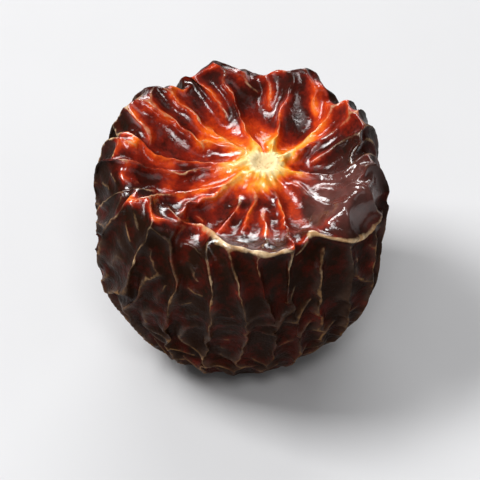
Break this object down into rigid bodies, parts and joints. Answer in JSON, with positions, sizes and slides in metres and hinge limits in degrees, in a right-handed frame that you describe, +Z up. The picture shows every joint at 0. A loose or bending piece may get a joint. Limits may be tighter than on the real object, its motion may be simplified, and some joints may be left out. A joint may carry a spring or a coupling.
{
  "type": "dried wiri wiri pepper",
  "caption": "Whole dried round chilli pod standing on a small flat spot, with a pleated glossy skin and a dished crown around the scar of its stalk.",
  "frame": {"origin": "centre of the small flat spot that the pod rests on", "axes": "+Z up through the pod to the stalk's scar, +X across its width, the side that the picture shows faces -Y"},
  "size_m": [0.014, 0.0133, 0.0116],
  "materials": {
    "dried_skin": "gloss"
  },
  "bodies": {
    "root": {"dried_pod": "dried_skin"}
  },
  "joints": []
}
